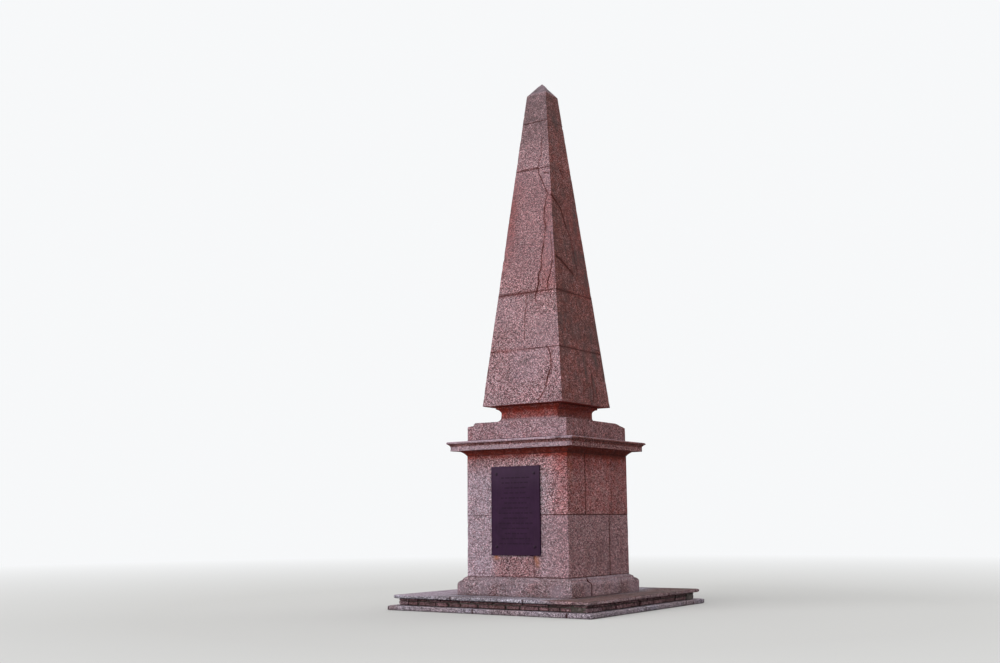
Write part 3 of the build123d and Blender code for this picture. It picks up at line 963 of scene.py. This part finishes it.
# Plaque. One plate of cast metal with a dark matt coat, bolted flat on the die. It has a narrow raised
# border, and its field carries plain low bars in rows, with nothing to read.
PLATE_BORDER = 0.026
PLATE_SINK = 0.003
PLATE_EASE = 0.004
PLATE_FIELD = PLAQUE_LOW.y + PLATE_SINK + 0.0004
ROW_COUNT = 14
ROW_MARGIN = 0.20
ROW_HEIGHT = 0.024
ROW_RELIEF = 0.0020
ROW_REACH, ROW_SHORTEST, ROW_SEED = 0.38, 0.55, 151
BAR_LENGTHS, BAR_GAPS = (0.03, 0.12), (0.018, 0.028)
BAR_SLOPE = 0.0012
COAT_DARK, COAT_LIGHT = (0.025, 0.0076, 0.026), (0.038, 0.0120, 0.040)
COAT_STREAK = (0.050, 0.026, 0.044, 1)
COAT_BLEACHED = (0.150, 0.098, 0.150, 1)
COAT_SOOT_AND_SHADE = (0.012, 0.004, 0.011, 1)
COAT_RELIEF = 0.0008


def plaque_metal(name, shade, gloss):
    """A dark matt coat over cast metal, streaked by rain, bleached at the top, and darkened by a share:
    painted shade on the raised rows, a darker coat on the bolts.
    """
    material, tree, shader = start_material(name)
    where = put(tree, "TexCoord").outputs["Object"]
    tall = put(tree, "VectorMath", {0: where, 1: (1, 1, 0.08)}, operation="MULTIPLY").outputs[0]
    streaks = cloud_of(tree, tall, 22, 4, 0.6)
    blotches = cloud_of(tree, where, 5, 5, 0.6)
    colour = ramp(tree, blotches, [(0.3, COAT_DARK), (0.7, COAT_LIGHT)])
    colour = blend(tree, between(tree, streaks, 0.5, 0.8, 0, 0.35), colour, COAT_STREAK)
    level = put(tree, "SeparateXYZ", {0: where}).outputs[2]
    colour = blend(tree, between(tree, level, 2.00, 2.42, 0.0, 0.16), colour, COAT_BLEACHED)
    colour = blend(tree, shade, colour, COAT_SOOT_AND_SHADE)
    roughness = between(tree, streaks, 0.3, 0.8, 0.66 - 0.5 * gloss, 0.76 - 0.4 * gloss)
    tree.links.new(roughness, shader.inputs["Roughness"])
    shader.inputs["Specular IOR Level"].default_value = 0.12 + gloss
    finish_surface(tree, shader, colour, cloud_of(tree, where, 420, 3, 0.7), 0.35, COAT_RELIEF)
    return material


def plate_mesh():
    """The plate with eased edges, a border and a sunk field, to its CAD piece's size."""
    middle, size = (PLAQUE_LOW + PLAQUE_HIGH) / 2, PLAQUE_HIGH - PLAQUE_LOW
    bm = bmesh.new()
    bmesh.ops.create_cube(bm, size=1, matrix=Matrix.Translation(middle) @ Matrix.Diagonal((*size, 1)))
    edges = [edge for edge in bm.edges if all(corner.co.y < middle.y for corner in edge.verts)]
    bmesh.ops.bevel(bm, geom=edges, offset=PLATE_EASE, segments=3, profile=0.5, affect="EDGES")
    face = min(bm.faces, key=lambda face: face.calc_center_median().y)
    bmesh.ops.inset_individual(bm, faces=[face], thickness=PLATE_BORDER)
    bmesh.ops.inset_individual(bm, faces=[face], thickness=PLATE_SINK, depth=-PLATE_SINK)
    return take_mesh("plaque_plate", bm)


def ring_faces(start, rings, steps):
    """Faces between rings of so many points, from the start point on, and one over the last ring."""
    last = start + (rings - 1) * steps
    faces = [[near + step, near + after, near + steps + after, near + steps + step]
             for near in range(start, last, steps)
             for step, after in zip(range(steps), [*range(1, steps), 0])]
    return faces + [list(range(last, last + steps))]


def row_bars():
    """Low bars with sloping sides, in rows across the field."""
    rng = np.random.default_rng(ROW_SEED)
    points, faces = [], []
    for level in np.linspace(PLAQUE_HIGH.z - ROW_MARGIN, PLAQUE_LOW.z + ROW_MARGIN, ROW_COUNT):
        reach = ROW_REACH * rng.uniform(ROW_SHORTEST, 1.0)
        at = -reach
        while at < reach - BAR_LENGTHS[0]:
            end = min(at + rng.uniform(*BAR_LENGTHS), reach)
            faces += ring_faces(len(points), 2, 4)
            for inset, face in ((0, PLATE_FIELD), (BAR_SLOPE, PLATE_FIELD - ROW_RELIEF)):
                low, high = level - ROW_HEIGHT / 2 + inset, level + ROW_HEIGHT / 2 - inset
                points += [(at + inset, face, low), (end - inset, face, low), (end - inset, face, high),
                           (at + inset, face, high)]
            at = end + rng.uniform(*BAR_GAPS)
    return points, faces


show_mesh("plaque_plate", plate_mesh(), plaque_metal("plaque_coat", 0.0, 0.0), ["plaque"])
# The rows' coat is darkened as painted shade of the raised bars.
mesh = mesh_of("plaque_rows", *row_bars())
show_mesh("plaque_rows", mesh, plaque_metal("plaque_rows_painted_shade_coat", 0.50, 0.0), [])


# Bolts. Four domed heads on round flanges, of the same coated metal, driven through the plate's corners
# into the die.
BOLT_X = 0.393
BOLT_LEVELS = (2.326, 1.073)
BOLT_OUTLINE = [(0.0300, 0.0), (0.0300, 0.0030), (0.0280, 0.0048), (0.0215, 0.0055), (0.0205, 0.0100),
                (0.0160, 0.0155), (0.0090, 0.0190), (0.0005, 0.0200)]
BOLT_STEPS = 28


def bolt(x, level):
    """A domed bolt head, turned about its own axis, standing on the plate's field."""
    turns = np.arange(BOLT_STEPS) * 2 * math.pi / BOLT_STEPS
    points = [(x + radius * math.cos(turn), PLATE_FIELD - height, level + radius * math.sin(turn))
              for radius, height in BOLT_OUTLINE for turn in turns]
    return np.array(points), ring_faces(0, len(BOLT_OUTLINE), BOLT_STEPS)


bolts = join_lumps([bolt(x, level) for level in BOLT_LEVELS for x in (-BOLT_X, BOLT_X)])
mesh = mesh_of("plaque_bolts", *bolts[:2])
show_mesh("plaque_bolts", mesh, plaque_metal("plaque_bolt_coat", 0.45, 0.10), [])


# The camera stands on the lawn to the right of the front, at eye height, and looks up a little. Its
# place and angles are those that put the monument's corners where the photograph has them.
CAMERA_PLACE = Vector((11.316, -17.930, 1.527))
CAMERA_YAW = math.radians(34.550)
CAMERA_PITCH = math.radians(9.246)
CAMERA_ROLL = math.radians(-0.491)
CAMERA_LENS, CAMERA_SENSOR = 41.71, 36
CAMERA_REACH = 300
camera = add_object("camera", bpy.data.cameras.new("camera"))
yawed = Matrix.Translation(CAMERA_PLACE) @ Matrix.Rotation(CAMERA_YAW, 4, "Z")
pitched = yawed @ Matrix.Rotation(math.pi / 2 + CAMERA_PITCH, 4, "X")
camera.matrix_world = pitched @ Matrix.Rotation(CAMERA_ROLL, 4, "Z")
camera.data.sensor_width = CAMERA_SENSOR
camera.data.lens = CAMERA_LENS
camera.data.clip_end = CAMERA_REACH
bpy.context.scene.camera = camera
bpy.context.scene.view_settings.view_transform = "Standard"


# The stage is a plain pale floor that fades into a near-white backdrop. Only the camera sees its
# paleness: for the stone it is as dull as open ground, so undersides stay dark.
BACKDROP = (0.93, 0.94, 0.95, 1)
FLOOR_SEEN = (0.62, 0.62, 0.61, 1)
FLOOR_DULL = (0.13, 0.125, 0.11, 1)
FLOOR_RADIUS = 90
FADE_START, FADE_END = 7.0, 30.0
SKY_FILL = (0.72, 0.72, 0.72, 1)


def seen_ray(tree):
    """1 for the rays that the camera sees, straight or by a mirror or glass, and 0 for light that bounces."""
    path = put(tree, "LightPath")
    seen = sum_up(tree, "ADD", path.outputs["Is Camera Ray"], path.outputs["Is Glossy Ray"], clamp=True)
    return sum_up(tree, "ADD", seen, path.outputs["Is Transmission Ray"], clamp=True)


bm = bmesh.new()
bmesh.ops.create_circle(bm, cap_ends=True, segments=96, radius=FLOOR_RADIUS)
mesh = take_mesh("floor", bm)
floor = add_object("floor", mesh)
material, tree, shader = start_material("floor")
seen = seen_ray(tree)
tree.links.new(blend(tree, seen, FLOOR_DULL, FLOOR_SEEN), shader.inputs["Base Color"])
shader.inputs["Roughness"].default_value = 1
shader.inputs["Specular IOR Level"].default_value = 0
where = put(tree, "TexCoord").outputs["Object"]
distance = put(tree, "VectorMath", {0: where}, operation="LENGTH").outputs[1]
fade = sum_up(tree, "MULTIPLY", between(tree, distance, FADE_START, FADE_END), seen)
glow = put(tree, "Emission", {"Color": BACKDROP, "Strength": 1.0})
surface = put(tree, "MixShader", {0: fade, 1: shader.outputs[0], 2: glow.outputs[0]})
tree.links.new(surface.outputs[0], tree.nodes["Material Output"].inputs["Surface"])
mesh.materials.append(material)

world = bpy.data.worlds.new("backdrop")
world.use_nodes = True
bpy.context.scene.world = world
tree = world.node_tree
background = tree.nodes["Background"]
seen = seen_ray(tree)
tree.links.new(blend(tree, seen, SKY_FILL, BACKDROP), background.inputs["Color"])


# The light is one wide soft lamp from the front left, fairly low, and a weaker one from behind on the
# right. Both are distant, so every stone gets the same.
def soft_lamp(name, towards, strength, spread):
    """A distant lamp with soft shadows, which shines from one side onto the monument."""
    lamp = bpy.data.lights.new(name, "SUN")
    lamp.energy = strength * math.pi
    lamp.angle = math.radians(spread)
    piece = add_object(name, lamp)
    piece.rotation_mode = "QUATERNION"
    piece.rotation_quaternion = Vector(towards).to_track_quat("Z", "Y")


soft_lamp("key", (-0.50, -1.0, 0.42), 0.66, 60)
soft_lamp("back", (0.25, 1.0, 0.50), 0.24, 60)
